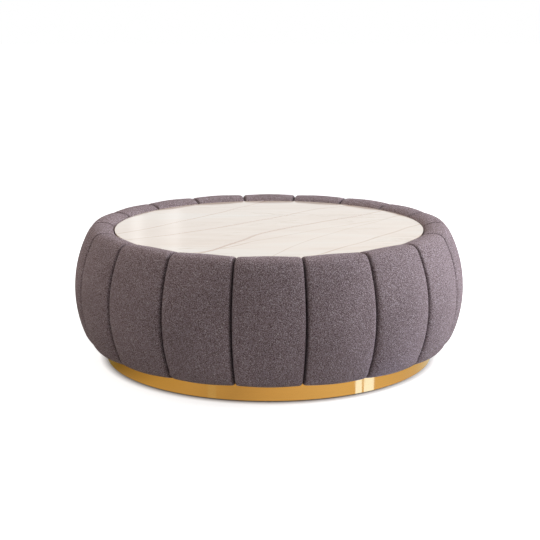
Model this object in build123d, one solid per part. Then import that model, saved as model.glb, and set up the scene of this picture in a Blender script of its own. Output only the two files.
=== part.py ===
from build123d import *
from math import acos, atan2, cos, degrees, hypot, radians, sin, sqrt, tan
import os

# A round ottoman coffee table: a plywood drum padded with upright channels of quilted
# fabric over foam, a stone disc that drops into the padded rim, and a metal banded plinth.
# Millimetres and degrees. The origin is the centre of the floor circle, +Z is up and the
# front faces -Y, with a channel in its middle.

os.makedirs("parts", exist_ok=True)

# Overall form
outer_radius = 500.0
overall_height = 344.5
channel_count = 18
seat_gap = 0.3
overrun = 4.0

# Padding, as a section from the plinth over the rim into the recess
belly_height_share = 0.461
belly_curve_radius = 304.5
crown_radius = 30.0
lower_roll_radius = 42.0
lower_roll_sag = 2.6
wall_beyond_roll = 1.5
lip_radius = 8.0
lip_run = 30.8
lip_drop = 3.0
fold_thickness = 4.0
tail_thickness = 2.0
seam_depth = 8.0
crown_seam_depth = 7.0
lip_seam_depth = 3.0
root_seam_depth = 2.4
core_start = 1.0
ring_bite = 7.0
lower_cut_count = 7
belly_cut_count = 8
crown_cut_count = 7
lip_cut_count = 3
seam_join_share = 0.7
seam_drop_share = 0.35

# Stone top and what carries it
stone_thickness = 12.0
stone_sink = 13.1
stone_bevel = 1.5
stone_under_bevel = 0.8
stone_edge_gap = 2.5
backing_inset = 20.0
backing_thickness = 9.0
bumper_radius = 10.0
bumper_thickness = 2.0
bumper_inset = 75.0
bumper_inner_share = 0.4
bumper_outer_count = 8
bumper_inner_count = 4

# Frame
panel_thickness = 3.0
panel_joint_gap = 1.0
panel_count = 4
deck_thickness = 15.0
recess_ring_thickness = 9.0
base_thickness = 15.0
post_count = 8
post_width = 45.0
post_depth = 30.0
rail_thickness = 18.0
rail_height = 60.0
centre_post_side = 45.0

# Plinth
plinth_inside_roll = 16.0
band_thickness = 1.2
band_height = 41.5
band_foot_gap = 3.0
band_joint_gap = 0.8
plinth_ring_width = 18.0
plinth_ring_foot_gap = 6.0
dust_cover_thickness = 1.0
dust_cover_inset = 2.6
glide_radius = 11.0
glide_round = 1.2
glide_inset = 2.6
glide_count = 8

# Fasteners
screw_radius = 2.0
screw_head_radius = 4.0
screw_head_height = 2.2
screw_tip_height = 4.0
screw_tip_share = 0.2
screw_gap = 0.15
drive_width_share = 0.75
drive_depth_share = 0.6
deck_screw_length = 50.0
base_screw_length = 50.0
plinth_screw_length = 40.0
ring_screw_length = 20.0
glide_screw_length = 18.0
bracket_screw_length = 14.0
post_screw_spread = 24.0
rail_screw_shares = (0.37, 0.74)
ring_screw_count = 16
plinth_screw_count = 8
glide_screw_sink = 1.2

# Rail brackets
bracket_leg = 40.0
bracket_width = 16.0
bracket_thickness = 2.0
bracket_hole_shares = (0.3, 0.75)

# Heights that follow
stone_top_height = overall_height - stone_sink
stone_bottom_height = stone_top_height - stone_thickness
backing_bottom_height = stone_bottom_height - backing_thickness
deck_top_height = backing_bottom_height - bumper_thickness
deck_bottom_height = deck_top_height - deck_thickness
ring_top_height = deck_top_height + recess_ring_thickness
band_top_height = band_foot_gap + band_height
base_bottom_height = band_top_height + fold_thickness
base_top_height = base_bottom_height + base_thickness
rail_bottom_height = deck_bottom_height - rail_height
belly_height = band_top_height + (overall_height - band_top_height) * belly_height_share
dust_cover_bottom_height = plinth_ring_foot_gap - dust_cover_thickness

# Angles that follow
channel_angle = 360 / channel_count
half_channel = radians(channel_angle / 2)
post_angle = 360 / post_count
front_angle = -90.0


def between(start, end, share):
    return start + (end - start) * share


def on_circle(centre, radius, angle):
    return (centre[0] + radius * cos(angle), centre[1] + radius * sin(angle))


def tangent_circle_centre(radius, height):
    """Centre of a circle of this radius at this height that rolls inside the belly curve."""
    reach = sqrt((belly_curve_radius - radius) ** 2 - (height - belly_height) ** 2)
    return (belly_centre[0] + reach, height)


# Circles of the padding's section, as (radius, height) of their centres
belly_centre = (outer_radius - belly_curve_radius, belly_height)
crown_centre = tangent_circle_centre(crown_radius, overall_height - crown_radius)
lower_centre = tangent_circle_centre(
    lower_roll_radius, band_top_height - lower_roll_sag + lower_roll_radius
)
lip_centre = (crown_centre[0] - lip_run, stone_top_height - lip_drop)

# Radii that follow
recess_radius = lip_centre[0] - lip_radius
stone_radius = recess_radius - stone_edge_gap
backing_radius = stone_radius - backing_inset
bumper_outer_circle = backing_radius - bumper_inset
bumper_inner_circle = bumper_outer_circle * bumper_inner_share
recess_ring_inner_radius = recess_radius + tail_thickness + seat_gap
wall_radius = lower_centre[0] + wall_beyond_roll
panel_inner_radius = wall_radius - panel_thickness
board_radius = panel_inner_radius - seat_gap
post_outer_reach = sqrt(board_radius**2 - (post_width / 2) ** 2) - seat_gap
post_inner_reach = post_outer_reach - post_depth
post_middle_reach = post_outer_reach - post_depth / 2
plinth_radius = lower_centre[0] - plinth_inside_roll
plinth_ring_radius = plinth_radius - band_thickness - seat_gap
plinth_ring_inner_radius = plinth_ring_radius - plinth_ring_width
plinth_ring_middle_radius = plinth_ring_radius - plinth_ring_width / 2
glide_reach = plinth_ring_radius - glide_inset - glide_radius
tuck_pivot = (recess_ring_inner_radius + ring_bite, ring_top_height - ring_bite)


def station(crest, facing, core, depth):
    """One cross-section of a channel: crest and core as (radius, height), facing an angle."""
    return {"crest": crest, "facing": facing, "core": core, "depth": depth}


def roll_stations(centre, radius, start, end, depths, count):
    """Stations round a circle of the section, whose cuts all meet near its centre."""
    made = []
    for step in range(count + 1):
        share = step / count
        angle = between(start, end, share)
        crest = on_circle(centre, radius, angle)
        core = on_circle(centre, core_start, angle)
        made.append(station(crest, angle, core, between(depths[0], depths[1], share)))
    return made


def belly_stations(first, last, start, end, count):
    """Stations along the belly between the lower roll and the crown."""
    made = []
    for step in range(1, count):
        share = step / count
        angle = between(start, end, share)
        crest = on_circle(belly_centre, belly_curve_radius, angle)
        core = (
            between(first["core"][0], last["core"][0], share),
            between(first["core"][1], last["core"][1], share),
        )
        made.append(station(crest, angle, core, between(first["depth"], last["depth"], share)))
    return made


def toward_pivot(crest):
    """Core point of a cut that runs from the crest to the pivot inside the recess ring."""
    angle = atan2(crest[1] - tuck_pivot[1], crest[0] - tuck_pivot[0])
    return on_circle(tuck_pivot, core_start, angle)


def lip_stations(start, count):
    """Stations round the lip, from the slope to the upright side of the recess."""
    made = []
    for step in range(count + 1):
        share = step / count
        angle = between(start, radians(180), share)
        crest = on_circle(lip_centre, lip_radius, angle)
        depth = between(crown_seam_depth, lip_seam_depth, share)
        made.append(station(crest, angle, toward_pivot(crest), depth))
    return made


def tail_station():
    """The last station, at the foot of the recess, where the cover is stapled."""
    crest = (recess_radius, deck_top_height + seat_gap)
    return station(crest, radians(180), toward_pivot(crest), lip_seam_depth)


def channel_stations():
    root_radius = plinth_radius - band_thickness
    root_angle = -acos((root_radius - lower_centre[0]) / lower_roll_radius)
    lower_end = atan2(lower_centre[1] - belly_centre[1], lower_centre[0] - belly_centre[0])
    crown_from = atan2(crown_centre[1] - belly_centre[1], crown_centre[0] - belly_centre[0])
    run = (lip_centre[0] - crown_centre[0], lip_centre[1] - crown_centre[1])
    crown_to = atan2(run[1], run[0]) - acos((crown_radius - lip_radius) / hypot(run[0], run[1]))
    lower_depths = (root_seam_depth, seam_depth)
    lower = roll_stations(
        lower_centre, lower_roll_radius, root_angle, lower_end, lower_depths, lower_cut_count
    )
    crown_depths = (crown_seam_depth, crown_seam_depth)
    crown = roll_stations(
        crown_centre, crown_radius, crown_from, crown_to, crown_depths, crown_cut_count
    )
    lip = lip_stations(crown_to, lip_cut_count)
    belly = belly_stations(lower[-1], crown[0], lower_end, crown_from, belly_cut_count)
    return lower + belly + crown + lip + [tail_station()]


def channel_section(place):
    """The closed outline of one station: core, seams at both sides and the crowned face."""
    crest_radius, crest_height = place["crest"]
    across = crest_radius - place["core"][0]
    up = crest_height - place["core"][1]
    thickness = hypot(across, up)
    cut_across = across / thickness
    cut_up = up / thickness
    face_across = cos(place["facing"])
    face_up = sin(place["facing"])
    chord_loss = crest_radius / cos(half_channel) - crest_radius
    seam_slant = face_across * cut_across / cos(half_channel) + face_up * cut_up
    seam = -(place["depth"] + face_across * chord_loss) / seam_slant

    def half_width(along):
        reach = crest_radius + along * cut_across
        return reach * tan(half_channel) - seat_gap / 2 / cos(half_channel)

    join = (seam * seam_drop_share, half_width(seam) * seam_join_share)
    face = ThreePointArc((join[0], -join[1]), (0, 0), join)
    right_roll = TangentArc(join, (seam, half_width(seam)), tangent=face % 1)
    left_roll = TangentArc((join[0], -join[1]), (seam, -half_width(seam)), tangent=-(face % 0))
    core = (-thickness, half_width(-thickness))
    right_side = Line((seam, half_width(seam)), core)
    left_side = Line((seam, -half_width(seam)), (core[0], -core[1]))
    back = Line(core, (core[0], -core[1]))
    outline = make_face([face, right_roll, right_side, back, left_side, left_roll])
    plane = Plane(
        origin=(crest_radius, 0, crest_height),
        x_dir=(cut_across, 0, cut_up),
        z_dir=(-cut_up, 0, cut_across),
    )
    return plane * outline


def revolved(points, angle=360.0):
    """A solid of revolution about the upright axis from (radius, height) points."""
    outline = Plane.XZ * make_face(Polyline(*points, close=True))
    return revolve(outline, axis=Axis.Z, revolution_arc=angle)


def carcass_room():
    """Everything inside the padding, with the seat gap added all round."""
    wall = wall_radius + seat_gap
    ring = recess_ring_inner_radius - seat_gap
    plinth = plinth_radius + seat_gap
    behind_band = plinth_ring_radius + seat_gap
    return revolved(
        [
            (0, 0),
            (plinth, 0),
            (plinth, band_top_height + seat_gap),
            (behind_band, band_top_height + seat_gap),
            (behind_band, base_bottom_height - seat_gap),
            (wall, base_bottom_height - seat_gap),
            (wall, ring_top_height + seat_gap),
            (ring, ring_top_height + seat_gap),
            (ring, deck_top_height + seat_gap),
            (0, deck_top_height + seat_gap),
        ]
    )


def channel_pad():
    sections = [channel_section(place) for place in channel_stations()]
    return (loft(sections, ruled=True) - carcass_room()).solids().sort_by(SortBy.VOLUME)[-1]


def upright(shape, x, y, height):
    return Pos(x, y, height) * shape


def disc(radius, thickness, bottom_height):
    above = (Align.CENTER, Align.CENTER, Align.MIN)
    return upright(Cylinder(radius, thickness, align=above), 0, 0, bottom_height)


def ring(inner_radius, radius, thickness, bottom_height):
    hole = disc(inner_radius, thickness + 2 * overrun, bottom_height - overrun)
    return disc(radius, thickness, bottom_height) - hole


def around(reach, count, turn=0.0):
    """Places on a circle, each turned so that its own X points outwards."""
    return [Rot(Z=turn + step * 360 / count) * Pos(X=reach) for step in range(count)]


def screw_body(length, growth):
    """A countersunk screw pointing down with its head at zero, or its hole when grown."""
    down = (Align.CENTER, Align.CENTER, Align.MAX)
    shank = screw_radius + growth
    head = Cone(shank, screw_head_radius + growth, screw_head_height, align=down)
    shank_length = length - screw_head_height - screw_tip_height
    body = Pos(Z=-screw_head_height) * Cylinder(shank, shank_length, align=down)
    tip = Cone(shank * screw_tip_share, shank, screw_tip_height + growth, align=down)
    return head + body + Pos(Z=screw_tip_height - length) * tip


def screw(length):
    drive = extrude(
        RegularPolygon(screw_radius * drive_width_share, 6),
        amount=-screw_head_height * drive_depth_share,
    )
    return screw_body(length, 0) - drive


def screw_hole(length):
    mouth = Cylinder(
        screw_head_radius + screw_gap,
        overrun,
        align=(Align.CENTER, Align.CENTER, Align.MIN),
    )
    return screw_body(length, screw_gap) + mouth


def placed(shape, places):
    return [place * shape for place in places]


def drilled(shape, length, places):
    """The shape with a hole for a screw at each place."""
    for hole in placed(screw_hole(length), places):
        shape = shape - hole
    return shape


def post_screw_places(height, flip):
    """Two screws for each post, pointing down, or up when flipped."""
    made = []
    for place in around(post_middle_reach, post_count):
        for side in (-1, 1):
            offset = Pos(Y=side * post_screw_spread / 2, Z=height)
            made.append(place * offset * (Rot(X=180) if flip else Rot()))
    return made


def rail_screw_spots():
    made = []
    for turn in (0, 90):
        for share in rail_screw_shares:
            for side in (-1, 1):
                reach = side * share * post_inner_reach
                made.append(Rot(Z=turn) * Pos(X=reach, Z=deck_top_height))
    return made


def deck_screw_spots():
    return post_screw_places(deck_top_height, False) + rail_screw_spots()


def base_screw_spots():
    centre = [Pos(X=side * post_screw_spread / 2, Z=base_bottom_height) for side in (-1, 1)]
    return post_screw_places(base_bottom_height, True) + [place * Rot(X=180) for place in centre]


def ring_screw_spots():
    reach = (recess_ring_inner_radius + board_radius) / 2
    places = around(reach, ring_screw_count, 180 / ring_screw_count)
    return [place * Pos(Z=ring_top_height) for place in places]


def plinth_screw_spots():
    places = around(plinth_ring_middle_radius, plinth_screw_count, 180 / plinth_screw_count)
    return [place * Pos(Z=base_top_height) for place in places]


def glide_screw_spots():
    places = around(glide_reach, glide_count)
    return [place * Pos(Z=glide_screw_sink) * Rot(X=180) for place in places]


def bracket_places():
    return around(post_inner_reach, 4)


def rail_bracket():
    """An angle plate under a rail end, against the inner face of a post."""
    inward = (Align.MAX, Align.CENTER, Align.MAX)
    under = Pos(Z=rail_bottom_height) * Box(
        bracket_leg, bracket_width, bracket_thickness, align=inward
    )
    against = Pos(Z=rail_bottom_height) * Box(
        bracket_thickness, bracket_width, bracket_leg, align=inward
    )
    return drilled(under + against, bracket_screw_length, bracket_screw_spots())


def bracket_screw_spots():
    """Screws through both legs, seen from the bracket's own corner."""
    made = []
    for share in bracket_hole_shares:
        reach = share * bracket_leg
        head_height = rail_bottom_height - bracket_thickness
        made.append(Pos(X=-reach, Z=head_height) * Rot(X=180))
        made.append(Pos(X=-bracket_thickness, Z=rail_bottom_height - reach) * Rot(Y=-90))
    return made


def all_bracket_screw_spots():
    return [place * spot for place in bracket_places() for spot in bracket_screw_spots()]


def stone_top():
    stone = disc(stone_radius, stone_thickness, stone_bottom_height)
    rims = stone.edges().filter_by(GeomType.CIRCLE).sort_by(Axis.Z)
    stone = chamfer(rims[-1], stone_bevel)
    rims = stone.edges().filter_by(GeomType.CIRCLE).sort_by(Axis.Z)
    return chamfer(rims[0], stone_under_bevel)


def top_backing_board():
    return disc(backing_radius, backing_thickness, backing_bottom_height)


def deck_bumpers():
    bumper = disc(bumper_radius, bumper_thickness, deck_top_height)
    outer = around(bumper_outer_circle, bumper_outer_count, 180 / bumper_outer_count)
    inner = around(bumper_inner_circle, bumper_inner_count, 180 / bumper_inner_count)
    return placed(bumper, outer + inner)


def recess_ring():
    board = ring(recess_ring_inner_radius, board_radius, recess_ring_thickness, deck_top_height)
    return drilled(board, ring_screw_length, ring_screw_spots())


def deck_board():
    board = disc(board_radius, deck_thickness, deck_bottom_height)
    board = drilled(board, deck_screw_length, deck_screw_spots())
    return drilled(board, ring_screw_length, ring_screw_spots())


def base_board():
    board = disc(board_radius, base_thickness, base_bottom_height)
    board = drilled(board, base_screw_length, base_screw_spots())
    return drilled(board, plinth_screw_length, plinth_screw_spots())


def frame_post(number):
    height = deck_bottom_height - base_top_height
    outward = (Align.MAX, Align.CENTER, Align.MIN)
    post = Pos(X=post_outer_reach, Z=base_top_height) * Box(
        post_depth, post_width, height, align=outward
    )
    post = Rot(Z=number * post_angle) * post
    post = drilled(post, deck_screw_length, post_screw_places(deck_top_height, False))
    post = drilled(post, base_screw_length, post_screw_places(base_bottom_height, True))
    return drilled(post, bracket_screw_length, all_bracket_screw_spots())


def cross_rail(turn, notch_bottom_height):
    """A rail on edge under the deck, half-lapped over its twin."""
    above = (Align.CENTER, Align.CENTER, Align.MIN)
    length = 2 * (post_inner_reach - seat_gap)
    rail = Pos(Z=rail_bottom_height) * Box(length, rail_thickness, rail_height, align=above)
    notch_width = rail_thickness + 2 * seat_gap
    notch_height = rail_height / 2 + overrun
    notch = Box(notch_width, rail_thickness + overrun, notch_height, align=above)
    rail = Rot(Z=turn) * (rail - Pos(Z=notch_bottom_height) * notch)
    rail = drilled(rail, deck_screw_length, rail_screw_spots())
    return drilled(rail, bracket_screw_length, all_bracket_screw_spots())


def centre_post():
    above = (Align.CENTER, Align.CENTER, Align.MIN)
    height = rail_bottom_height - base_top_height
    post = Box(centre_post_side, centre_post_side, height, align=above)
    return drilled(Pos(Z=base_top_height) * post, base_screw_length, base_screw_spots()[-2:])


def wall_panel(number):
    """A bent sheet round one quarter of the frame, its ends on the middle of a post."""
    joint_angle = degrees(panel_joint_gap / wall_radius)
    panel = revolved(
        [
            (panel_inner_radius, base_bottom_height),
            (wall_radius, base_bottom_height),
            (wall_radius, ring_top_height),
            (panel_inner_radius, ring_top_height),
        ],
        360 / panel_count - joint_angle,
    )
    start = number * 360 / panel_count + post_angle + joint_angle / 2
    return Rot(Z=start) * panel


def plinth_band():
    """A rolled sheet band with its joint at the back."""
    joint_angle = degrees(band_joint_gap / plinth_radius)
    band = revolved(
        [
            (plinth_radius - band_thickness, band_foot_gap),
            (plinth_radius, band_foot_gap),
            (plinth_radius, band_top_height),
            (plinth_radius - band_thickness, band_top_height),
        ],
        360 - joint_angle,
    )
    return Rot(Z=-front_angle + joint_angle / 2) * band


def plinth_ring():
    height = base_bottom_height - plinth_ring_foot_gap
    board = ring(plinth_ring_inner_radius, plinth_ring_radius, height, plinth_ring_foot_gap)
    board = drilled(board, plinth_screw_length, plinth_screw_spots())
    return drilled(board, glide_screw_length, glide_screw_spots())


def dust_cover():
    radius = plinth_ring_radius - dust_cover_inset
    cover = disc(radius, dust_cover_thickness, dust_cover_bottom_height)
    return drilled(cover, glide_screw_length, glide_screw_spots())


def glides():
    """Round feet, each screwed through the dust cover into the plinth ring."""
    glide = disc(glide_radius, dust_cover_bottom_height, 0)
    rim = glide.edges().filter_by(GeomType.CIRCLE).sort_by(Axis.Z)[0]
    glide = fillet(rim, glide_round)
    hole = Pos(Z=glide_screw_sink) * Rot(X=180) * screw_hole(glide_screw_length)
    return placed(glide - hole, around(glide_reach, glide_count))


def write(name, shape):
    """One file for a piece, or for a group of separate like pieces."""
    solids = []
    for item in shape if isinstance(shape, list) else [shape]:
        solids.extend(item.solids())
    piece = solids[0] if len(solids) == 1 else Compound(children=solids)
    piece.label = name
    export_step(piece, f"parts/{name}.step")


def write_channels():
    pad = channel_pad()
    print("channel pad valid", pad.is_valid, "volume", round(pad.volume))
    for number in range(channel_count):
        turned = Rot(Z=front_angle + number * channel_angle) * pad
        write(f"channel_pad_{number + 1:02d}", turned)


def write_frame():
    write("deck_board", deck_board())
    write("recess_ring", recess_ring())
    write("base_board", base_board())
    for number in range(post_count):
        write(f"frame_post_{number + 1}", frame_post(number))
    write("cross_rail_a", cross_rail(0, rail_bottom_height + rail_height / 2))
    write("cross_rail_b", cross_rail(90, rail_bottom_height - overrun))
    write("centre_post", centre_post())
    for number, side in enumerate(("back", "left", "front", "right")):
        write(f"wall_panel_{side}", wall_panel(number))
    write("rail_brackets", placed(rail_bracket(), bracket_places()))


def write_top():
    write("stone_top", stone_top())
    write("top_backing_board", top_backing_board())
    write("deck_bumpers", deck_bumpers())


def write_plinth():
    write("plinth_band", plinth_band())
    write("plinth_ring", plinth_ring())
    write("dust_cover", dust_cover())
    write("glides", glides())


def write_fasteners():
    write("deck_screws", placed(screw(deck_screw_length), deck_screw_spots()))
    write("base_screws", placed(screw(base_screw_length), base_screw_spots()))
    write("recess_ring_screws", placed(screw(ring_screw_length), ring_screw_spots()))
    write("plinth_screws", placed(screw(plinth_screw_length), plinth_screw_spots()))
    write("glide_screws", placed(screw(glide_screw_length), glide_screw_spots()))
    write("bracket_screws", placed(screw(bracket_screw_length), all_bracket_screw_spots()))


write_channels()
write_frame()
write_top()
write_plinth()
write_fasteners()
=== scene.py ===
"""Looks of the round ottoman coffee table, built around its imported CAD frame."""

from math import acos, atan2, cos, pi, radians, sin, sqrt

import bpy
import numpy as np
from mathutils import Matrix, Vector


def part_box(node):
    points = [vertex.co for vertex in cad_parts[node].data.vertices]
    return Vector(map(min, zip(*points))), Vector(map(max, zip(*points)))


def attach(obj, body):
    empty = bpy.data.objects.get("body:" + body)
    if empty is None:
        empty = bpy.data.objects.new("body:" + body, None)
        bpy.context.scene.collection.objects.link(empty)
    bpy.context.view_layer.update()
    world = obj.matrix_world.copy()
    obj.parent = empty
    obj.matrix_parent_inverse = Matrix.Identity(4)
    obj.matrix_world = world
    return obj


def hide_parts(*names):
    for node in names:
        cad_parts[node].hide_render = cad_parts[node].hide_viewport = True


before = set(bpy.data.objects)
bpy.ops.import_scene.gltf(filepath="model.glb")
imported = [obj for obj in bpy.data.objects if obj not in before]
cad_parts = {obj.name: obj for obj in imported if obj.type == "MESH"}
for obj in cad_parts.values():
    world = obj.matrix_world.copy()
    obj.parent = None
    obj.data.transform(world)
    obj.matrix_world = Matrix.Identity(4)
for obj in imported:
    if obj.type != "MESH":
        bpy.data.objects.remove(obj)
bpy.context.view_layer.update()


def nodes_called(start):
    """Names of the frame's nodes that start with these letters."""
    return [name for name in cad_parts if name.startswith(start)]


# Sizes that the frame gives, in metres
pad_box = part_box("channel_pad_01")
stone_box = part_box("stone_top")
band_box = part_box("plinth_band")
deck_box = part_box("deck_board")
recess_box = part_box("recess_ring")
cover_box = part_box("dust_cover")
outer_radius = -pad_box[0].y
overall_height = pad_box[1].z
stone_radius = stone_box[1].x
stone_top_height = stone_box[1].z
stone_foot_height = stone_box[0].z
band_radius = band_box[1].x
band_top_height = band_box[1].z
band_foot_height = band_box[0].z
deck_top_height = deck_box[1].z
recess_ring_top = recess_box[1].z
cover_radius = cover_box[1].x
cover_top_height = cover_box[1].z

# Section of the padding, the same circles as the solid one
channel_count = len(nodes_called("channel_pad_"))
belly_height_share = 0.461
belly_curve_radius = 0.3045
crown_radius = 0.03
lower_roll_radius = 0.042
lower_roll_sag = 0.0026
wall_beyond_roll = 0.0015
lip_radius = 0.008
lip_run = 0.0308
lip_drop = 0.003
fold_thickness = 0.004
tail_thickness = 0.002
band_thickness = 0.0012
seat_gap = 0.0003
channel_angle = 2 * pi / channel_count
belly_height = band_top_height + (overall_height - band_top_height) * belly_height_share
belly_centre = (outer_radius - belly_curve_radius, belly_height)

# How deep the cover is drawn in at the seams, along the section
root_pull = 0.0016
belly_pull = 0.0185
crown_pull = 0.009
lip_pull = 0.006
sag_share = 0.38
roll_shape = 1.9
tuck_full_pull = 0.012
tuck_depth = 0.011
tuck_width = 0.0042
tuck_shape = 1.5
side_clearance = 0.0001
# Painted shade in the seam creases: how far from a seam the fabric's colour is darkened, and how
# dark it gets at the seam
seam_shade_width = 0.0055
seam_shade_tone = 0.4

# Rows of a cover along its section, and columns across a channel, closer at its seams
roll_row_count = 14
belly_row_count = 30
crown_row_count = 12
rim_row_count = 16
tail_shares = (0, 0.18, 0.36, 0.54, 0.77, 1)
column_count = 36
column_crowding = 2.1

# Cloth simulation of the covers
cover_variants = 5
start_slack = 0.0012
slack_variety = 0.2
puff_limit = 0.0042
simulated_frames = 14
simulation_quality = 5
cover_pressure = 12.0
pressure_variety = 0.15
cover_seed = 11

# Smallest lengths, and the angles in degrees up to which an edge is shaded smooth
seed_size = 0.0001
merge_distance = 1e-6
height_tolerance = 1e-5
least_length = 1e-9
cover_smoothing = 50
edge_smoothing = 40


def only(piece):
    """Makes one object the selected and active one."""
    bpy.ops.object.select_all(action="DESELECT")
    piece.select_set(True)
    bpy.context.view_layer.objects.active = piece


def start_edit(piece):
    only(piece)
    bpy.ops.object.mode_set(mode="EDIT")


def end_edit():
    bpy.ops.object.mode_set(mode="OBJECT")


def pick_height(piece, height):
    """Selects, in edit mode, the vertices that lie at one height."""
    bpy.ops.mesh.select_all(action="DESELECT")
    bpy.ops.object.mode_set(mode="OBJECT")
    for vertex in piece.data.vertices:
        vertex.select = abs(vertex.co.z - height) < height_tolerance
    bpy.ops.object.mode_set(mode="EDIT")


def apply_place(piece):
    only(piece)
    bpy.ops.object.transform_apply(location=True, rotation=True, scale=True)


def apply_modifier(piece, kind, **settings):
    """Adds a modifier with its settings, and applies it."""
    only(piece)
    bpy.ops.object.modifier_add(type=kind)
    modifier = piece.modifiers[-1]
    for name, value in settings.items():
        setattr(modifier, name, value)
    bpy.ops.object.modifier_apply(modifier=modifier.name)


def smooth_edges(piece, angle):
    only(piece)
    bpy.ops.object.shade_smooth_by_angle(angle=radians(angle))


def points_of(piece):
    flat = np.empty(len(piece.data.vertices) * 3)
    piece.data.vertices.foreach_get("co", flat)
    return flat.reshape(-1, 3)


def set_points(piece, points):
    piece.data.vertices.foreach_set("co", points.ravel())
    piece.data.update()


def step_along(start, end):
    """Extrudes the selected point of an outline to its next place."""
    move = (end[0] - start[0], 0, end[1] - start[1])
    bpy.ops.mesh.extrude_vertices_move(TRANSFORM_OT_translate={"value": move})


def first_point(name, place):
    """A mesh of one vertex, where an outline starts."""
    bpy.ops.object.select_all(action="DESELECT")
    bpy.ops.mesh.primitive_plane_add(size=seed_size, location=(place[0], 0, place[1]))
    piece = bpy.context.object
    piece.name = name
    apply_place(piece)
    start_edit(piece)
    bpy.ops.mesh.select_all(action="SELECT")
    bpy.ops.mesh.merge(type="CENTER")
    return piece


def spun_solid(name, outline, steps, angle):
    """A closed solid, spun round the upright axis from an outline of (radius, height) points."""
    piece = first_point(name, outline[0])
    for start, end in zip(outline, outline[1:]):
        step_along(start, end)
    bpy.ops.mesh.select_all(action="SELECT")
    bpy.ops.mesh.edge_face_add()
    bpy.ops.mesh.spin(steps=steps, angle=angle, center=(0, 0, 0), axis=(0, 0, 1))
    bpy.ops.mesh.select_all(action="SELECT")
    bpy.ops.mesh.remove_doubles(threshold=merge_distance)
    bpy.ops.mesh.normals_make_consistent(inside=False)
    end_edit()
    return piece


def on_circle(centre, radius, angle):
    return (centre[0] + radius * cos(angle), centre[1] + radius * sin(angle))


def inside_belly(radius, height):
    """Centre of a circle of the section that rolls inside the belly's curve."""
    reach = sqrt((belly_curve_radius - radius) ** 2 - (height - belly_height) ** 2)
    return (belly_centre[0] + reach, height)


crown_centre = inside_belly(crown_radius, overall_height - crown_radius)
lower_centre = inside_belly(
    lower_roll_radius, band_top_height - lower_roll_sag + lower_roll_radius
)
lip_centre = (crown_centre[0] - lip_run, stone_top_height - lip_drop)
recess_radius = lip_centre[0] - lip_radius
wall_radius = lower_centre[0] + wall_beyond_roll
root_radius = band_radius - band_thickness


def section_angles():
    """Where the circles of the section hand over to each other."""
    root = -acos((root_radius - lower_centre[0]) / lower_roll_radius)
    roll_end = atan2(lower_centre[1] - belly_centre[1], lower_centre[0] - belly_centre[0])
    crown_start = atan2(crown_centre[1] - belly_centre[1], crown_centre[0] - belly_centre[0])
    return root, roll_end, crown_start


def arc_rows(centre, radius, angles, pulls, count):
    """Rows of a cover round one circle: (radius, height, facing, pull)."""
    rows = []
    for step in range(count):
        share = step / count
        angle = angles[0] + (angles[1] - angles[0]) * share
        pull = pulls[0] + (pulls[1] - pulls[0]) * share
        rows.append((*on_circle(centre, radius, angle), angle, pull))
    return rows


def rim_rows(count):
    """Rows of the full round rim, from its crest down into the recess."""
    across = crown_centre[0] - recess_radius
    up = overall_height - lip_centre[1]
    rows = []
    for step in range(count):
        share = step / count
        turn = pi / 2 * (1 + share)
        place = (crown_centre[0] + across * cos(turn), lip_centre[1] + up * sin(turn))
        facing = atan2(sin(turn) / up, cos(turn) / across)
        rows.append((*place, facing, crown_pull + (lip_pull - crown_pull) * share))
    return rows


def tail_rows():
    """Rows of the stapled end of a cover, down the side of the recess."""
    foot = deck_top_height + seat_gap
    rows = []
    for share in tail_shares:
        height = lip_centre[1] + (foot - lip_centre[1]) * share
        rows.append((recess_radius, height, pi, lip_pull * (1 - share) ** 2))
    return rows


def cover_rows():
    """All rows of a cover, from the band, over the rim, to the foot of the recess."""
    root, roll_end, crown_start = section_angles()
    roll = (root, roll_end)
    belly = (roll_end, crown_start)
    crown = (crown_start, pi / 2)
    roll_pulls = (root_pull, belly_pull)
    belly_pulls = (belly_pull, crown_pull)
    crown_pulls = (crown_pull, crown_pull)
    rows = arc_rows(lower_centre, lower_roll_radius, roll, roll_pulls, roll_row_count)
    rows += arc_rows(belly_centre, belly_curve_radius, belly, belly_pulls, belly_row_count)
    rows += arc_rows(crown_centre, crown_radius, crown, crown_pulls, crown_row_count)
    return rows + rim_rows(rim_row_count) + tail_rows()


def back_points():
    """Corners of a pad's back, from the foot of the recess to the band."""
    tuck = recess_radius + tail_thickness
    above_ring = recess_ring_top + seat_gap
    behind = wall_radius + seat_gap
    under = band_top_height + fold_thickness - seat_gap
    return [
        (tuck, deck_top_height + seat_gap),
        (tuck, above_ring),
        (behind, above_ring),
        (behind, under),
        (root_radius, under),
    ]


def pad_blank(name):
    """A closed pad with a plain round face, spun from its section."""
    outline = [row[:2] for row in cover_rows()] + back_points()
    turn = channel_angle - 2 * side_clearance / wall_radius
    return spun_solid(name, outline, column_count, turn)


def row_table():
    """Rows of the whole outline as an array: radius, height, facing, pull."""
    back = [(*corner, 0.0, 0.0) for corner in back_points()]
    return np.array(cover_rows() + back)


def grid_places(points, table):
    """Row number and share across the channel, -1 to 1, of each point of a blank."""
    radius = np.hypot(points[:, 0], points[:, 1])
    gap = (radius[:, None] - table[:, 0]) ** 2 + (points[:, 2][:, None] - table[:, 1]) ** 2
    angle = np.arctan2(points[:, 1], points[:, 0])
    middle = (angle.max() + angle.min()) / 2
    return gap.argmin(axis=1), (angle - middle) / (angle.max() - middle)


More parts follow.
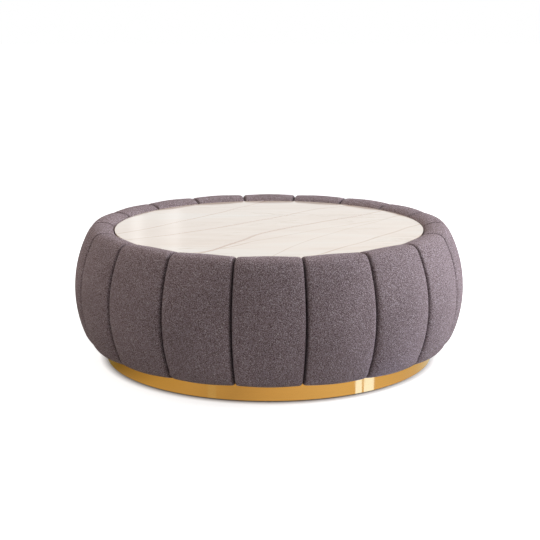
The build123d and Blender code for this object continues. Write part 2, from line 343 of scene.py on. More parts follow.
def drawn_in(distance, half_width, pull):
    """How far the cover lies inside its crest, by distance from the seam."""
    sag = pull * sag_share * np.clip(1 - distance / half_width, 0, 1) ** 2
    roll_depth = pull * (1 - sag_share)
    roll_width = np.maximum(roll_depth * roll_shape, least_length)
    inward = np.clip(1 - distance / roll_width, 0, 1)
    tuck = tuck_depth * np.clip(pull / tuck_full_pull, 0, 1) ** tuck_shape
    tuck = tuck * np.clip(1 - distance / tuck_width, 0, 1) ** tuck_shape
    return sag + roll_depth * (1 - np.sqrt(1 - inward**2)) + tuck


def paint_seam_shade(piece, distance, pull):
    """Stores how near each point is to a seam, for the painted shade that darkens the fabric's
    colour in the seam creases.
    """
    near = np.clip(1 - distance / seam_shade_width, 0, 1) * np.clip(pull / lip_pull, 0, 1)
    marks = piece.data.attributes.new("seam_shade_nearness", "FLOAT", "POINT")
    marks.data.foreach_set("value", near)


def shape_channel(blank, slack):
    """Draws the face of a blank in at its seams. Gives how firmly each point is held."""
    table = row_table()
    rows, across = grid_places(points_of(blank), table)
    crowded = np.sign(across) * (1 - (1 - np.abs(across)) ** column_crowding)
    radius, height, facing, pull = table[rows].T
    half_angle = channel_angle / 2 - side_clearance / wall_radius
    half_width = radius * half_angle
    distance = (1 - np.abs(crowded)) * half_width
    on_cover = pull > 0
    inside = np.where(on_cover, drawn_in(distance, half_width, pull), 0)
    fullness = np.clip(distance / half_width * 2, 0, 1) * np.clip(pull / belly_pull, 0, 1)
    inside += np.where(on_cover, slack * np.sin(fullness * pi / 2), 0)
    radius = radius - inside * np.cos(facing)
    height = height - inside * np.sin(facing)
    angle = -pi / 2 + crowded * half_angle
    points = np.column_stack((radius * np.cos(angle), radius * np.sin(angle), height))
    set_points(blank, points)
    paint_seam_shade(blank, distance, pull)
    firm = 1 - np.clip((distance - belly_pull) / belly_pull, 0, 1)
    return np.where(on_cover & (rows > 0), firm, 1.0)


def fill_cover(piece, firm, pressure):
    """Fills a channel from inside as cloth, and keeps its points near their start."""
    start = points_of(piece)
    held = piece.vertex_groups.new(name="held")
    for index, weight in enumerate(firm):
        held.add([index], float(weight), "REPLACE")
    only(piece)
    bpy.ops.object.modifier_add(type="CLOTH")
    cloth = piece.modifiers[-1]
    cloth.settings.quality = simulation_quality
    cloth.settings.use_pressure = True
    cloth.settings.uniform_pressure_force = pressure
    cloth.settings.vertex_group_mass = held.name
    cloth.settings.effector_weights.gravity = 0
    cloth.point_cache.frame_end = simulated_frames
    for step in range(simulated_frames):
        bpy.context.scene.frame_set(step + 1)
    bpy.ops.object.modifier_apply(modifier=cloth.name)
    bpy.context.scene.frame_set(1)
    move = points_of(piece) - start
    length = np.linalg.norm(move, axis=1)
    kept = np.minimum(length, puff_limit) / np.maximum(length, least_length)
    set_points(piece, start + move * kept[:, None])
    piece.vertex_groups.clear()


def cover_variant(number, draws):
    """One filled channel at the front of the table."""
    blank = pad_blank(f"cover_variant_{number}")
    slack = start_slack * (1 + slack_variety * draws.uniform(-1, 1))
    firm = shape_channel(blank, slack)
    pressure = cover_pressure * (1 + pressure_variety * draws.uniform(-1, 1))
    fill_cover(blank, firm, pressure)
    smooth_edges(blank, cover_smoothing)
    return blank


def channel_covers(finish):
    """The channels, copies of the variants turned to their places."""
    draws = np.random.default_rng(cover_seed)
    variants = [cover_variant(n, draws) for n in range(cover_variants)]
    order = draws.permutation(channel_count) % cover_variants
    for number in range(channel_count):
        only(variants[order[number]])
        bpy.ops.object.duplicate()
        cover = bpy.context.object
        cover.name = f"channel_cover_{number + 1:02d}"
        cover.rotation_euler.z = number * channel_angle
        apply_place(cover)
        cover.data.materials.append(finish)
        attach(cover, "base")
        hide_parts(f"channel_pad_{number + 1:02d}")
    for variant in variants:
        bpy.data.objects.remove(variant)


# Slab, band, dust cloth and staples

band_segments = 240
band_edge_round = 0.0004
band_edge_margin = 0.001
band_joint_gap = 0.0008
stone_segments = 256
stone_bevel = 0.0015
stone_under_bevel = 0.0008
stone_face_margin = 0.004
cloth_segments = 96
cloth_rings = 10
cloth_sag = 0.0016
cloth_thickness = 0.0004
pucker_depth = cloth_sag / 3
pucker_narrowing = 8
pucker_release = 12
staple_length = 0.0115
staple_width = 0.0013
staple_height = 0.0005
staple_edge_round = staple_height * 0.3
cloth_staple_count = 32
cloth_staple_inset = 0.0065
cloth_staple_drop = 0.0003
tail_staple_rise = 0.0045
tail_staple_stand = 0.3
tail_staple_sides = (-0.32, 0.0, 0.32)


def plinth_sleeve(finish):
    """The bent metal strip round the plinth, open by a hair's breadth at the back."""
    inner, outer = root_radius, band_radius
    low, high = band_foot_height, band_top_height
    corners = [
        (outer, low),
        (outer, low + band_edge_margin),
        (outer, high - band_edge_margin),
        (outer, high),
        (inner, high),
        (inner, low),
    ]
    joint = band_joint_gap / band_radius
    sleeve = spun_solid("plinth_sleeve", corners, band_segments, 2 * pi - joint)
    sleeve.rotation_euler.z = pi / 2 - joint / 2
    apply_place(sleeve)
    apply_modifier(sleeve, "BEVEL", width=band_edge_round, segments=3)
    smooth_edges(sleeve, edge_smoothing)
    sleeve.data.materials.append(finish)
    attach(sleeve, "base")
    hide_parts("plinth_band")


def stone_slab(finish):
    """The polished slab, with a fine bevel on its rim."""
    thickness = stone_top_height - stone_foot_height
    bpy.ops.object.select_all(action="DESELECT")
    bpy.ops.mesh.primitive_cylinder_add(
        vertices=stone_segments,
        radius=stone_radius,
        depth=thickness,
        location=(0, 0, stone_top_height - thickness / 2),
    )
    slab = bpy.context.object
    slab.name = "stone_slab"
    apply_place(slab)
    start_edit(slab)
    for height, width in (
        (stone_top_height, stone_bevel),
        (stone_foot_height, stone_under_bevel),
    ):
        pick_height(slab, height)
        bpy.ops.mesh.select_mode(type="EDGE")
        bpy.ops.mesh.region_to_loop()
        bpy.ops.mesh.bevel(offset=width, segments=4, affect="EDGES")
        bpy.ops.mesh.select_mode(type="VERT")
    for height in (stone_top_height, stone_foot_height):
        pick_height(slab, height)
        bpy.ops.mesh.inset(thickness=stone_face_margin)
    end_edit()
    smooth_edges(slab, edge_smoothing)
    slab.data.materials.append(finish)
    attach(slab, "top")
    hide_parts("stone_top")


def staple(place, heading, size):
    """One staple's crown, with rounded edges. Its X points away from the middle of the table."""
    bpy.ops.object.select_all(action="DESELECT")
    bpy.ops.mesh.primitive_cube_add(size=1, location=place, rotation=(0, 0, heading))
    crown = bpy.context.object
    crown.scale = size
    apply_place(crown)
    start_edit(crown)
    bpy.ops.mesh.select_all(action="SELECT")
    bpy.ops.mesh.bevel(offset=staple_edge_round, segments=2, affect="EDGES")
    end_edit()
    return crown


def staple_ring(name, angles, reach, height, size, metal):
    """Staples at these angles round the table, joined to one piece."""
    crowns = []
    for angle in angles:
        place = (reach * cos(angle), reach * sin(angle), height)
        crowns.append(staple(place, angle, size))
    bpy.ops.object.select_all(action="DESELECT")
    for crown in crowns:
        crown.select_set(True)
    ring = crowns[0]
    bpy.context.view_layer.objects.active = ring
    bpy.ops.object.join()
    ring.name = name
    ring.data.materials.append(metal)
    return ring


def tail_staples(metal):
    """Staples that hold the foot of each channel to the side of the recess."""
    angles = []
    for channel in range(channel_count):
        for side in tail_staple_sides:
            angles.append(-pi / 2 + (channel + side) * channel_angle)
    reach = recess_radius - staple_height * tail_staple_stand
    height = deck_top_height + tail_staple_rise
    standing = (staple_height, staple_length, staple_width)
    staples = staple_ring("cover_tail_staples", angles, reach, height, standing, metal)
    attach(staples, "base")


def cloth_staples(metal):
    """Staples that hold the rim of the dust cloth up to the plinth ring."""
    angles = []
    for number in range(cloth_staple_count):
        angles.append((number + 0.5) * 2 * pi / cloth_staple_count)
    reach = cover_radius - cloth_staple_inset
    height = cover_top_height - cloth_thickness - cloth_staple_drop
    lying = (staple_width, staple_length, staple_height)
    return staple_ring("dust_cloth_staples", angles, reach, height, lying, metal)


def sag_cloth(cloth):
    """Lets the round of cloth hang a little, also between the staples at its rim."""
    points = points_of(cloth)
    reach = np.hypot(points[:, 0], points[:, 1]) / cover_radius
    around = np.arctan2(points[:, 1], points[:, 0])
    slack = np.clip(1 - reach**2, 0, 1) * cloth_sag
    pucker = 0.5 + 0.5 * np.cos(around * cloth_staple_count)
    pucker = pucker * reach**pucker_narrowing * np.clip((1 - reach) * pucker_release, 0, 1)
    points[:, 2] -= slack + pucker * pucker_depth
    set_points(cloth, points)


def stretched_cloth():
    """The round of cloth itself, with rings enough to hang in a curve."""
    bpy.ops.object.select_all(action="DESELECT")
    bpy.ops.mesh.primitive_circle_add(
        vertices=cloth_segments,
        radius=cover_radius,
        fill_type="NGON",
        location=(0, 0, cover_top_height),
    )
    cloth = bpy.context.object
    cloth.name = "dust_cloth"
    apply_place(cloth)
    start_edit(cloth)
    bpy.ops.mesh.select_all(action="SELECT")
    for _ring in range(cloth_rings):
        bpy.ops.mesh.inset(thickness=cover_radius / (cloth_rings + 1))
    bpy.ops.mesh.poke()
    end_edit()
    sag_cloth(cloth)
    apply_modifier(cloth, "SOLIDIFY", thickness=cloth_thickness, offset=-1)
    smooth_edges(cloth, edge_smoothing)
    return cloth


def under_cloth(finish, metal):
    """The dust cover: a round of cloth stretched under the plinth and stapled to it."""
    cloth = stretched_cloth()
    cloth.data.materials.append(finish)
    staples = cloth_staples(metal)
    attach(cloth, "base")
    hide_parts("dust_cover")
    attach(staples, "base")


# Finishes

# Sockets of a Mix node that mixes colours: the share, both colours and the result
mix_share, mix_first, mix_second, mix_result = 0, 6, 7, 2
# The range that most of a noise pattern lies in
noise_span = (0.3, 0.7)


def paint(red, green, blue):
    """A colour given as it is seen on a screen, 0 to 255, as the light it stands for."""
    levels = [part / 255 for part in (red, green, blue)]
    light = [((v + 0.055) / 1.055) ** 2.4 if v > 0.04045 else v / 12.92 for v in levels]
    return (*light, 1.0)


def new_finish(name, colour, roughness, metallic=0.0):
    finish = bpy.data.materials.new(name)
    finish.use_nodes = True
    shader = finish.node_tree.nodes["Principled BSDF"]
    shader.inputs["Base Color"].default_value = colour
    shader.inputs["Roughness"].default_value = roughness
    shader.inputs["Metallic"].default_value = metallic
    return finish, shader


def add_node(finish, kind, **settings):
    """Adds a node to a finish, or to the world, which takes nodes in the same way."""
    node = finish.node_tree.nodes.new(kind)
    for name, value in settings.items():
        setattr(node, name, value)
    return node


def feed(finish, source, target):
    finish.node_tree.links.new(source, target)


def give(finish, value, socket):
    """Feeds a socket from another one, or sets it to a number or colour."""
    if isinstance(value, bpy.types.NodeSocket):
        feed(finish, value, socket)
    else:
        socket.default_value = value


def place_on(finish, scale=(1, 1, 1), turn=0.0, shift=0.0):
    """Object coordinates, stretched, turned about the upright axis and moved along it."""
    coords = add_node(finish, "ShaderNodeTexCoord")
    mapping = add_node(finish, "ShaderNodeMapping")
    mapping.inputs["Scale"].default_value = scale
    mapping.inputs["Rotation"].default_value = (0, 0, turn)
    mapping.inputs["Location"].default_value = (0, 0, shift)
    feed(finish, coords.outputs["Object"], mapping.inputs["Vector"])
    return mapping.outputs["Vector"]


def noise(finish, place, scale, detail=2.0, rough=0.5, warp=0.0):
    node = add_node(finish, "ShaderNodeTexNoise")
    node.inputs["Scale"].default_value = scale
    node.inputs["Detail"].default_value = detail
    node.inputs["Roughness"].default_value = rough
    node.inputs["Distortion"].default_value = warp
    feed(finish, place, node.inputs["Vector"])
    return node.outputs["Fac"]


def nubs(finish, place, scale, randomness=1.0):
    """How far the nearest of many scattered points is."""
    node = add_node(finish, "ShaderNodeTexVoronoi")
    node.inputs["Scale"].default_value = scale
    node.inputs["Randomness"].default_value = randomness
    feed(finish, place, node.inputs["Vector"])
    return node.outputs["Distance"]


def colours(finish, level, stops):
    """A ramp through (position, colour) stops."""
    node = add_node(finish, "ShaderNodeValToRGB")
    ramp = node.color_ramp
    while len(ramp.elements) < len(stops):
        ramp.elements.new(0.5)
    for element, (position, colour) in zip(ramp.elements, stops):
        element.position = position
        element.color = colour
    feed(finish, level, node.inputs["Fac"])
    return node.outputs["Color"]


def blend_colours(finish, share, first, second, way="MIX"):
    """Mixes two colours. Each is a socket or a colour, and the share a socket or number."""
    node = add_node(finish, "ShaderNodeMix", data_type="RGBA", blend_type=way)
    give(finish, share, node.inputs[mix_share])
    give(finish, first, node.inputs[mix_first])
    give(finish, second, node.inputs[mix_second])
    return node.outputs[mix_result]


def reckon(finish, operation, first, second=0.0):
    """One step of arithmetic, on sockets or numbers."""
    node = add_node(finish, "ShaderNodeMath", operation=operation)
    give(finish, first, node.inputs[0])
    give(finish, second, node.inputs[1])
    return node.outputs["Value"]


def spread(finish, level, between, onto=(0.0, 1.0)):
    """Stretches a level from one range onto another, held at its ends."""
    node = add_node(finish, "ShaderNodeMapRange")
    feed(finish, level, node.inputs["Value"])
    ends = ("From Min", "From Max", "To Min", "To Max")
    for name, value in zip(ends, (*between, *onto)):
        node.inputs[name].default_value = value
    return node.outputs["Result"]


def emboss(finish, shader, height, distance, strength=1.0):
    node = add_node(finish, "ShaderNodeBump")
    node.inputs["Distance"].default_value = distance
    node.inputs["Strength"].default_value = strength
    feed(finish, height, node.inputs["Height"])
    feed(finish, node.outputs["Normal"], shader.inputs["Normal"])


curl_scale = 600
loop_scale = 740
loop_share = 0.22
pile_colours = (
    (0.0, paint(84, 67, 68)),
    (0.45, paint(150, 132, 134)),
    (0.72, paint(174, 158, 161)),
    (1.0, paint(240, 228, 231)),
)


def brushed_wool():
    """Short curled pile in grey mauve, with light tips and dark gaps."""
    finish, shader = new_finish("brushed_wool", paint(156, 140, 144), roughness=0.95)
    place = place_on(finish)
    curls = noise(finish, place, curl_scale, rough=0.55)
    loops = nubs(finish, place, loop_scale)
    tips = reckon(finish, "SUBTRACT", curls, reckon(finish, "MULTIPLY", loops, loop_share))
    fibre = colours(finish, spread(finish, tips, (0.22, 0.6)), pile_colours)
    drift = spread(finish, noise(finish, place, scale=9), noise_span, (0.93, 1.07))
    # Painted shade: the fabric's colour is darkened near each seam, where its crease falls into
    # shade
    marks = add_node(finish, "ShaderNodeAttribute", attribute_name="seam_shade_nearness")
    painted_seam_shade = spread(finish, marks.outputs["Fac"], (0.0, 1.0), (1.0, seam_shade_tone))
    tone = reckon(finish, "MULTIPLY", drift, painted_seam_shade)
    feed(finish, blend_colours(finish, 1.0, fibre, tone, "MULTIPLY"), shader.inputs["Base Color"])
    shader.inputs["Specular IOR Level"].default_value = 0.12
    shader.inputs["Sheen Weight"].default_value = 0.1
    shader.inputs["Sheen Roughness"].default_value = 0.4
    shader.inputs["Sheen Tint"].default_value = paint(226, 212, 218)
    emboss(finish, shader, tips, distance=0.0018, strength=0.7)
    return finish


# The stone's pattern runs aslant. A vein sways about its line, each in its own stretch of noise
vein_slant = radians(47)
vein_sway = 0.2
vein_variety = 5.0
streak_slant = radians(42)
streak_strength = 0.65
# Veins of the stone: (offset from the middle, tilt in degrees, width, strength)
veins = (
    (0.08, 0, 0.007, 1.0),
    (0.115, -6, 0.0032, 0.7),
    (0.3, 5, 0.0056, 0.9),
    (0.2, 11, 0.0028, 0.55),
    (-0.1, -8, 0.0052, 0.85),
    (-0.26, 4, 0.005, 0.8),
)
cloud_colours = (
    (0.25, paint(244, 220, 195)),
    (0.5, paint(254, 235, 213)),
    (0.75, paint(255, 246, 230)),
)


def from_middle(finish, pattern):
    """How far a noise pattern is above or below its middle level."""
    return reckon(finish, "SUBTRACT", pattern, 0.5)


def vein(finish, offset, tilt, width, strength):
    """How much one wandering vein shows: it fades to its edges, and here and there along it."""
    turn = -vein_slant - radians(tilt)
    place = place_on(finish, turn=turn, shift=offset * vein_variety)
    parts = add_node(finish, "ShaderNodeSeparateXYZ")
    feed(finish, place, parts.inputs["Vector"])
    sway = from_middle(finish, noise(finish, place, scale=2.1, rough=0.4))
    bend = reckon(finish, "MULTIPLY", sway, vein_sway)
    away = reckon(finish, "ADD", parts.outputs["Y"], reckon(finish, "ADD", bend, offset))
    line = spread(finish, reckon(finish, "ABSOLUTE", away), (0.0, width), (strength, 0.0))
    patches = spread(finish, noise(finish, place, scale=4.5), (0.4, 0.6), (0.45, 1.0))
    return reckon(finish, "MULTIPLY", line, patches)


def fine_streaks(finish):
    """How much the thin streaks between the veins show, in patches."""
    place = place_on(finish, scale=(0.9, 7.0, 1.0), turn=-streak_slant)
    streaks = noise(finish, place, scale=2.2, detail=5.0, rough=0.62, warp=1.2)
    away = reckon(finish, "ABSOLUTE", from_middle(finish, streaks))
    lines = spread(finish, away, (0.0, 0.02), (1.0, 0.0))
    patches = noise(finish, place_on(finish, turn=-vein_slant), scale=3.0)
    shown = reckon(finish, "MULTIPLY", lines, spread(finish, patches, (0.42, 0.62)))
    return reckon(finish, "MULTIPLY", shown, streak_strength)


def cream_stone():
    """Polished cream stone with fine tan veins that run aslant."""
    finish, shader = new_finish("cream_stone", paint(238, 231, 221), roughness=0.12)
    place = place_on(finish, scale=(1.2, 4.5, 1.0), turn=-vein_slant)
    clouds = noise(finish, place, scale=1.5, detail=4.0, rough=0.6, warp=0.8)
    base = colours(finish, clouds, cloud_colours)
    stone = blend_colours(finish, fine_streaks(finish), base, paint(206, 178, 146))
    for offset, tilt, width, strength in veins:
        shown = vein(finish, offset, tilt, width, strength)
        stone = blend_colours(finish, shown, stone, paint(194, 144, 96))
    feed(finish, stone, shader.inputs["Base Color"])
    shader.inputs["Coat Weight"].default_value = 0.9
    shader.inputs["Coat Roughness"].default_value = 0.05
    return finish


def gold_metal():
    """Satin gold coloured metal, brushed round the band."""
    gold = paint(218, 162, 82)
    finish, shader = new_finish("gold_metal", gold, roughness=0.15, metallic=1.0)
    place = place_on(finish, scale=(6, 6, 900))
    hairlines = noise(finish, place, scale=3.0, detail=3.0, rough=0.6)
    shade = spread(finish, hairlines, noise_span, (0.96, 1.04))
    feed(finish, blend_colours(finish, 1.0, gold, shade, "MULTIPLY"), shader.inputs["Base Color"])
    feed(finish, spread(finish, hairlines, noise_span, (0.13, 0.17)), shader.inputs["Roughness"])
    shader.inputs["Anisotropic"].default_value = 1.0
    shader.inputs["Anisotropic Rotation"].default_value = 0.25
    tangent = add_node(finish, "ShaderNodeTangent", direction_type="RADIAL", axis="Z")
    feed(finish, tangent.outputs["Tangent"], shader.inputs["Tangent"])
    return finish


birch_colours = (
    (0.3, paint(196, 166, 124)),
    (0.55, paint(220, 195, 156)),
    (0.8, paint(232, 212, 178)),
)
ply_scale = 120
pine_across = 22
pine_along = 1.6
pine_colours = (
    (0.32, paint(190, 146, 92)),
    (0.45, paint(222, 188, 138)),
    (0.7, paint(236, 210, 168)),
)


def plywood():
    """Birch plywood: pale grain on the faces, dark and light plies on the edges."""
    finish, shader = new_finish("birch_plywood", paint(214, 188, 150), roughness=0.6)
    place = place_on(finish, scale=(2, 26, 6))
    grain = noise(finish, place, scale=3.5, detail=5.0, rough=0.6, warp=0.6)
    face = colours(finish, grain, birch_colours)
    plies = add_node(finish, "ShaderNodeTexWave", wave_type="BANDS", bands_direction="Z")
    plies.inputs["Scale"].default_value = ply_scale
    plies.inputs["Distortion"].default_value = 0.4
    feed(finish, place_on(finish), plies.inputs["Vector"])
    ply_colours = [(0.3, paint(142, 104, 66)), (0.6, paint(214, 184, 140))]
    edge = colours(finish, plies.outputs["Fac"], ply_colours)
    normal = add_node(finish, "ShaderNodeNewGeometry")
    parts = add_node(finish, "ShaderNodeSeparateXYZ")
    feed(finish, normal.outputs["Normal"], parts.inputs["Vector"])
    level = spread(finish, reckon(finish, "ABSOLUTE", parts.outputs["Z"]), (0.4, 0.6))
    feed(finish, blend_colours(finish, level, edge, face), shader.inputs["Base Color"])
    emboss(finish, shader, grain, distance=0.0002, strength=0.5)
    return finish


def pine(name, stretch):
    """Sawn pine, with its grain along the member."""
    finish, shader = new_finish(name, paint(222, 190, 142), roughness=0.65)
    place = place_on(finish, scale=stretch)
    rings = noise(finish, place, scale=4.0, detail=4.0, rough=0.55, warp=0.8)
    feed(finish, colours(finish, rings, pine_colours), shader.inputs["Base Color"])
    emboss(finish, shader, rings, distance=0.0003, strength=0.5)
    return finish


def hardboard():
    finish, shader = new_finish("brown_hardboard", paint(124, 92, 62), roughness=0.7)
    fibres = noise(finish, place_on(finish), scale=240, detail=3.0, rough=0.6)
    board = colours(finish, fibres, [(0.3, paint(92, 64, 42)), (0.7, paint(146, 112, 78))])
    feed(finish, board, shader.inputs["Base Color"])
    emboss(finish, shader, fibres, distance=0.0003, strength=0.6)
    return finish


def zinc(name, spangle):
    """Zinc plating with faint crystals."""
    finish, shader = new_finish(name, paint(196, 198, 202), roughness=0.36, metallic=1.0)
    crystals = nubs(finish, place_on(finish), spangle)
    metal = colours(finish, crystals, [(0.0, paint(170, 173, 178)), (0.8, paint(214, 216, 220))])
    feed(finish, metal, shader.inputs["Base Color"])
    dulled = spread(finish, crystals, (0.0, 0.8), (0.3, 0.46))
    feed(finish, dulled, shader.inputs["Roughness"])
    return finish


def nylon():
    finish, shader = new_finish("black_nylon", paint(30, 30, 32), roughness=0.42)
    grain = noise(finish, place_on(finish), scale=900)
    tint = colours(finish, grain, [(0.3, paint(24, 24, 26)), (0.7, paint(40, 40, 42))])
    feed(finish, tint, shader.inputs["Base Color"])
    emboss(finish, shader, grain, distance=0.0001, strength=0.5)
    return finish


def silicone():
    finish, shader = new_finish("clear_silicone", paint(236, 238, 240), roughness=0.25)
    shader.inputs["Transmission Weight"].default_value = 0.3
    shader.inputs["IOR"].default_value = 1.41
    haze = noise(finish, place_on(finish), scale=60)
    feed(finish, spread(finish, haze, noise_span, (0.18, 0.34)), shader.inputs["Roughness"])
    return finish


def nonwoven():
    """Black spun cloth with its small pressed points."""
    finish, shader = new_finish("black_nonwoven", paint(34, 34, 36), roughness=0.9)
    place = place_on(finish)
    fibres = noise(finish, place, scale=500, detail=3.0, rough=0.7)
    points = nubs(finish, place, scale=420, randomness=0.15)
    tint = colours(finish, fibres, [(0.3, paint(22, 22, 24)), (0.7, paint(52, 52, 55))])
    pressed = spread(finish, points, (0.1, 0.35), (0.7, 1.0))
    feed(finish, blend_colours(finish, 1.0, tint, pressed, "MULTIPLY"), shader.inputs["Base Color"])
    emboss(finish, shader, points, distance=0.0003, strength=0.6)
    return finish


def dress(names, finish):
    for name in names:
        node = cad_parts[name]
        node.data.materials.clear()
        node.data.materials.append(finish)


def dress_frame(screw_metal):
    """Gives the pieces that stay as they are in the frame their finishes."""
    boards = ["deck_board", "recess_ring", "base_board", "plinth_ring", "top_backing_board"]
    dress(boards, plywood())
    upright = pine("pine_upright", (pine_across, pine_across, pine_along))
    dress([*nodes_called("frame_post_"), "centre_post"], upright)
    dress(["cross_rail_a"], pine("pine_along_x", (pine_along, pine_across, pine_across)))
    dress(["cross_rail_b"], pine("pine_along_y", (pine_across, pine_along, pine_across)))
    dress(nodes_called("wall_panel_"), hardboard())
    dress(["rail_brackets"], zinc("zinc_plate", spangle=220))
    kinds = ("deck", "base", "recess_ring", "plinth", "glide", "bracket")
    dress([f"{kind}_screws" for kind in kinds], screw_metal)
    dress(["glides"], nylon())
    dress(["deck_bumpers"], silicone())


# Studio

camera_place = (0.0025, -3.0598, 0.9121)
camera_drop = radians(12.83)
camera_lens = 80.545
camera_sensor = 36.0
light_aim = Vector((0, 0, 0.2))
# Soft lights: (name, heading, height angle, distance, size, watts, colour), angles in degrees
soft_lights = (
    ("right_softbox", 94, 25, 3.2, (2.4, 2.0), 98, (0.96, 1.02, 1.12)),
    ("left_softbox", -105, 42, 3.4, (1.6, 2.0), 26, (1.0, 0.9, 0.8)),
    ("top_softbox", 0, 82, 2.8, (2.4, 2.4), 20.5, (1.0, 1.0, 1.0)),
)
floor_size = 40.0
floor_tone = 0.68
floor_glow = 0.84
floor_glow_ring = (band_radius - 0.006, band_radius + 0.02)
far_glow = 0.95
far_glow_ring = (1.0, 3.0)
# Light of the floor in the band, by heading: (degrees, (red, green, blue))
sheen_stops = (
    (-180, (0.6, 0.6, 0.6)),
    (-115, (0.5, 0.49, 0.46)),
    (-96, (0.2, 0.19, 0.1)),
    (-87, (0.18, 0.17, 0.08)),
    (-68, (0.28, 0.24, 0.08)),
    (-45, (0.65, 0.61, 0.44)),
    (-30, (0.7, 0.67, 0.58)),
    (-12, (0.6, 0.57, 0.53)),
    (0, (0.77, 0.74, 0.7)),
    (24, (0.96, 0.98, 1.02)),
    (40, (0.98, 1.0, 1.02)),
    (55, (0.88, 0.9, 0.92)),
    (69, (0.84, 0.88, 0.74)),
    (90, (0.74, 0.76, 0.64)),
    (120, (0.62, 0.62, 0.6)),
    (180, (0.6, 0.6, 0.6)),
)
# Window streaks in the band, and a faint one at its left: (name, headings in degrees, colour)
window_streaks = (
    ("streak_narrow", (28.6, 31.1), (1.5, 2.4, 6.4)),
    ("streak_wide", (31.8, 35.9), (1.5, 2.4, 6.4)),
    ("streak_faint", (-19.6, -16.8), (0.68, 0.7, 0.72)),
)
streak_clearance = 0.0006
streak_height = 0.0004
streak_length = 0.4
room_colour = (1.0, 0.92, 0.9, 1.0)
room_strength = 0.195
# Levels of the mirrored room, across it from -1 at the left to 1 at the right
room_dark_end = (-1.0, 0.25)
room_gloss_start = -0.3
room_gloss = 1.06
# Soft windows in it: (place across, extra light), and half their width
room_windows = ((-0.1094, 0.3), (-0.08, 0.22))
window_reach = 0.008
window_core = window_reach / 3


def studio_camera():
    bpy.ops.object.select_all(action="DESELECT")
    bpy.ops.object.camera_add(location=camera_place, rotation=(pi / 2 - camera_drop, 0, 0))
    camera = bpy.context.object
    camera.name = "studio_camera"
    camera.data.lens = camera_lens
    camera.data.sensor_width = camera_sensor
    bpy.context.scene.camera = camera


def soft_light(name, heading, height_angle, distance, size, power, colour):
    """A soft light at an angle round the table, 0 in front and 90 to the right.

    The stone and the metal mirror the room and not the lamps, so they don't clip to white.
    """
    turn, rise = radians(heading), radians(height_angle)
    away = Vector((sin(turn) * cos(rise), -cos(turn) * cos(rise), sin(rise))) * distance
    bpy.ops.object.light_add(type="AREA", location=light_aim + away)
    lamp = bpy.context.object
    lamp.name = name
    lamp.rotation_euler = away.to_track_quat("Z", "Y").to_euler()
    lamp.data.shape = "RECTANGLE"
    lamp.data.size, lamp.data.size_y = size
    lamp.data.energy = power
    lamp.data.color = colour
    lamp.visible_glossy = False


def bare_finish(name):
    """A material with no nodes yet, for the stage."""
    finish = bpy.data.materials.new(name)
    finish.use_nodes = True
    finish.node_tree.nodes.clear()
    return finish


def mirrored_ray(heading):
    """Where the camera's line of sight meets the band at this heading, and which way it goes on."""
    outward = Vector((sin(heading), -cos(heading)))
    place = outward * (band_radius + streak_clearance)
    sight = (place - Vector(camera_place[:2])).normalized()
    onward = sight - 2 * sight.dot(outward) * outward
    return place, onward


def floor_streak(name, headings, colour):
    """A strip of light on the floor that only gloss sees, between two headings of the band."""
    near, far = [], []
    for heading in headings:
        place, onward = mirrored_ray(radians(heading))
        near.append(place)
        far.append(place + onward * streak_length)
    bpy.ops.object.select_all(action="DESELECT")
    bpy.ops.mesh.primitive_plane_add(size=1)
    strip = bpy.context.object
    strip.name = name
    set_points(strip, np.array([(*corner, streak_height) for corner in near + far]))
    finish = bare_finish(f"{name}_light")
    light = add_node(finish, "ShaderNodeEmission")
    light.inputs["Color"].default_value = (*colour, 1)
    output = add_node(finish, "ShaderNodeOutputMaterial")
    feed(finish, light.outputs["Emission"], output.inputs["Surface"])
    strip.data.materials.append(finish)
    strip.visible_camera = False
    strip.visible_diffuse = False
    strip.visible_shadow = False


def room_stops():
    """Levels of the mirrored room as a ramp, with its soft windows."""
    levels = [room_dark_end, (room_gloss_start, room_gloss)]
    for middle, extra in room_windows:
        levels.append((middle - window_reach, room_gloss))
        levels.append((middle - window_core, room_gloss + extra))
        levels.append((middle + window_core, room_gloss + extra))
        levels.append((middle + window_reach, room_gloss))
    return [((across + 1) / 2, (level, level, level, 1)) for across, level in levels]


def studio_world():
    """A dim room for the fabric, a brighter one for gloss, and white for camera and glass."""
    world = bpy.data.worlds.new("studio_world")
    bpy.context.scene.world = world
    world.use_nodes = True
    world.node_tree.nodes.clear()
    rays = add_node(world, "ShaderNodeLightPath")
    coords = add_node(world, "ShaderNodeTexCoord")
    parts = add_node(world, "ShaderNodeSeparateXYZ")
    feed(world, coords.outputs["Generated"], parts.inputs["Vector"])
    across = spread(world, parts.outputs["X"], (-1.0, 1.0))
    level = colours(world, across, room_stops())
    room, mirrored, white = [add_node(world, "ShaderNodeBackground") for _kind in range(3)]
    white.inputs["Color"].default_value = (1.0, 1.0, 1.0, 1.0)
    room.inputs["Color"].default_value = room_colour
    room.inputs["Strength"].default_value = room_strength
    feed(world, level, mirrored.inputs["Strength"])
    shown = room.outputs["Background"]
    for ray, light in (
        ("Is Glossy Ray", mirrored),
        ("Is Transmission Ray", white),
        ("Is Camera Ray", white),
    ):
        pick = add_node(world, "ShaderNodeMixShader")
        feed(world, rays.outputs[ray], pick.inputs["Fac"])
        feed(world, shown, pick.inputs[1])
        feed(world, light.outputs["Background"], pick.inputs[2])
        shown = pick.outputs["Shader"]
    output = add_node(world, "ShaderNodeOutputWorld")
    feed(world, shown, output.inputs["Surface"])


def floor_sheen(finish):
    """How bright the floor is in the band, by heading: dim at the left, bright at the right."""
    parts = add_node(finish, "ShaderNodeSeparateXYZ")
    feed(finish, place_on(finish), parts.inputs["Vector"])
    inward = reckon(finish, "MULTIPLY", parts.outputs["Y"], -1.0)
    heading = reckon(finish, "ARCTAN2", parts.outputs["X"], inward)
    stops = [(angle / 360 + 0.5, (*light, 1)) for angle, light in sheen_stops]
    return colours(finish, spread(finish, heading, (-pi, pi)), stops)


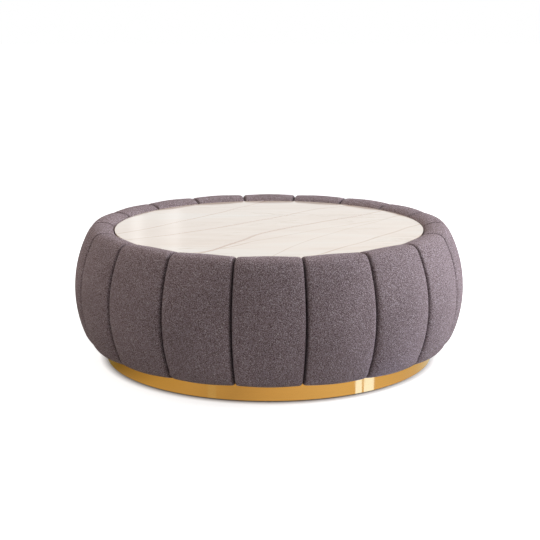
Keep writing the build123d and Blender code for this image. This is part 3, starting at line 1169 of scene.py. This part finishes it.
def camera_glow(finish):
    """How much the floor glows for the camera: not under the table, and a bit more far off."""
    length = add_node(finish, "ShaderNodeVectorMath", operation="LENGTH")
    feed(finish, add_node(finish, "ShaderNodeTexCoord").outputs["Object"], length.inputs[0])
    reach = length.outputs["Value"]
    near = spread(finish, reach, floor_glow_ring, (0.0, floor_glow))
    far = spread(finish, reach, far_glow_ring, (0.0, far_glow))
    return reckon(finish, "MAXIMUM", near, far)


def floor_paper():
    """Pale paper that takes shadows, with a glow that only the camera and gloss see."""
    finish = bare_finish("floor_paper")
    rays = add_node(finish, "ShaderNodeLightPath")
    mirrored = rays.outputs["Is Glossy Ray"]
    paper = add_node(finish, "ShaderNodeBsdfDiffuse")
    tone = (floor_tone, floor_tone, floor_tone, 1)
    feed(finish, blend_colours(finish, mirrored, tone, (0, 0, 0, 1)), paper.inputs["Color"])
    glow = add_node(finish, "ShaderNodeEmission")
    light = blend_colours(finish, mirrored, camera_glow(finish), floor_sheen(finish))
    feed(finish, light, glow.inputs["Color"])
    shown = reckon(finish, "MAXIMUM", rays.outputs["Is Camera Ray"], mirrored)
    feed(finish, shown, glow.inputs["Strength"])
    both = add_node(finish, "ShaderNodeAddShader")
    feed(finish, paper.outputs["BSDF"], both.inputs[0])
    feed(finish, glow.outputs["Emission"], both.inputs[1])
    output = add_node(finish, "ShaderNodeOutputMaterial")
    feed(finish, both.outputs["Shader"], output.inputs["Surface"])
    return finish


def studio_floor():
    """A plain pale floor."""
    bpy.ops.object.select_all(action="DESELECT")
    bpy.ops.mesh.primitive_plane_add(size=floor_size)
    floor = bpy.context.object
    floor.name = "studio_floor"
    floor.data.materials.append(floor_paper())


# The whole scene

bpy.context.scene.view_settings.view_transform = "Standard"
studio_camera()
for light in soft_lights:
    soft_light(*light)
studio_world()
studio_floor()
for streak in window_streaks:
    floor_streak(*streak)
screw_metal = zinc("zinc_screw", spangle=600)
channel_covers(brushed_wool())
stone_slab(cream_stone())
plinth_sleeve(gold_metal())
tail_staples(screw_metal)
under_cloth(nonwoven(), screw_metal)
dress_frame(screw_metal)
